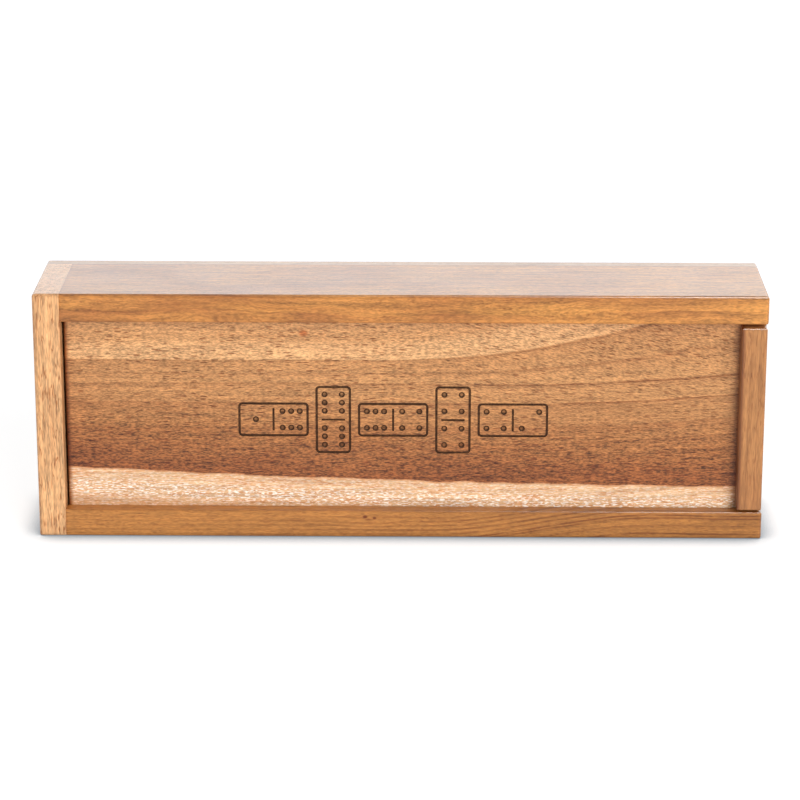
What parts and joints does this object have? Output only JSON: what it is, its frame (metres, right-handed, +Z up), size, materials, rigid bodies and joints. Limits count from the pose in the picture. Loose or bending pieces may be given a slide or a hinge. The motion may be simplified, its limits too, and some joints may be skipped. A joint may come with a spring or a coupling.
{
  "type": "sliding-lid domino box",
  "caption": "Long wooden box with a lid that slides out along grooves in its two rails, for storing a set of dominoes in one row.",
  "frame": {"origin": "centre of the box's footprint as it stands on its lower rail, at the height of the surface it stands on", "axes": "+X along the box, the way the lid slides out; +Y from the lid to the base; +Z up, across the two rails"},
  "size_m": [0.216, 0.0406, 0.075],
  "materials": {
    "closed_end_wood": "satin lacquered pale golden hardwood, grain upright",
    "upper_rail_wood": "satin lacquered orange-brown hardwood, grain along the rail",
    "lower_rail_wood": "satin lacquered olive-brown hardwood, grain along the rail",
    "low_end_wood": "satin lacquered mid-brown hardwood",
    "base_wood": "satin lacquered light brown hardwood",
    "lid_wood": "satin lacquered hardwood, tan to dark brown with a pale sapwood band along its lower edge",
    "pull_wood": "satin lacquered mid-brown hardwood, grain upright",
    "dowel_wood": "bare pale hardwood dowel",
    "brad_steel": "bright wire"
  },
  "bodies": {
    "box": {"closed_end": "closed_end_wood", "upper_rail": "upper_rail_wood", "lower_rail": "lower_rail_wood", "low_end": "low_end_wood", "base_panel": "base_wood", "closed_end_dowels": "dowel_wood", "low_end_dowels": "dowel_wood", "base_brads": "brad_steel"},
    "lid": {"lid_panel": "lid_wood", "pull_strip": "pull_wood", "pull_brads": "brad_steel"}
  },
  "joints": [
    {"name": "lid_slide", "type": "slide", "parent": "box", "child": "lid", "axis": [1, 0, 0], "range_m": [0, 0.207]}
  ]
}
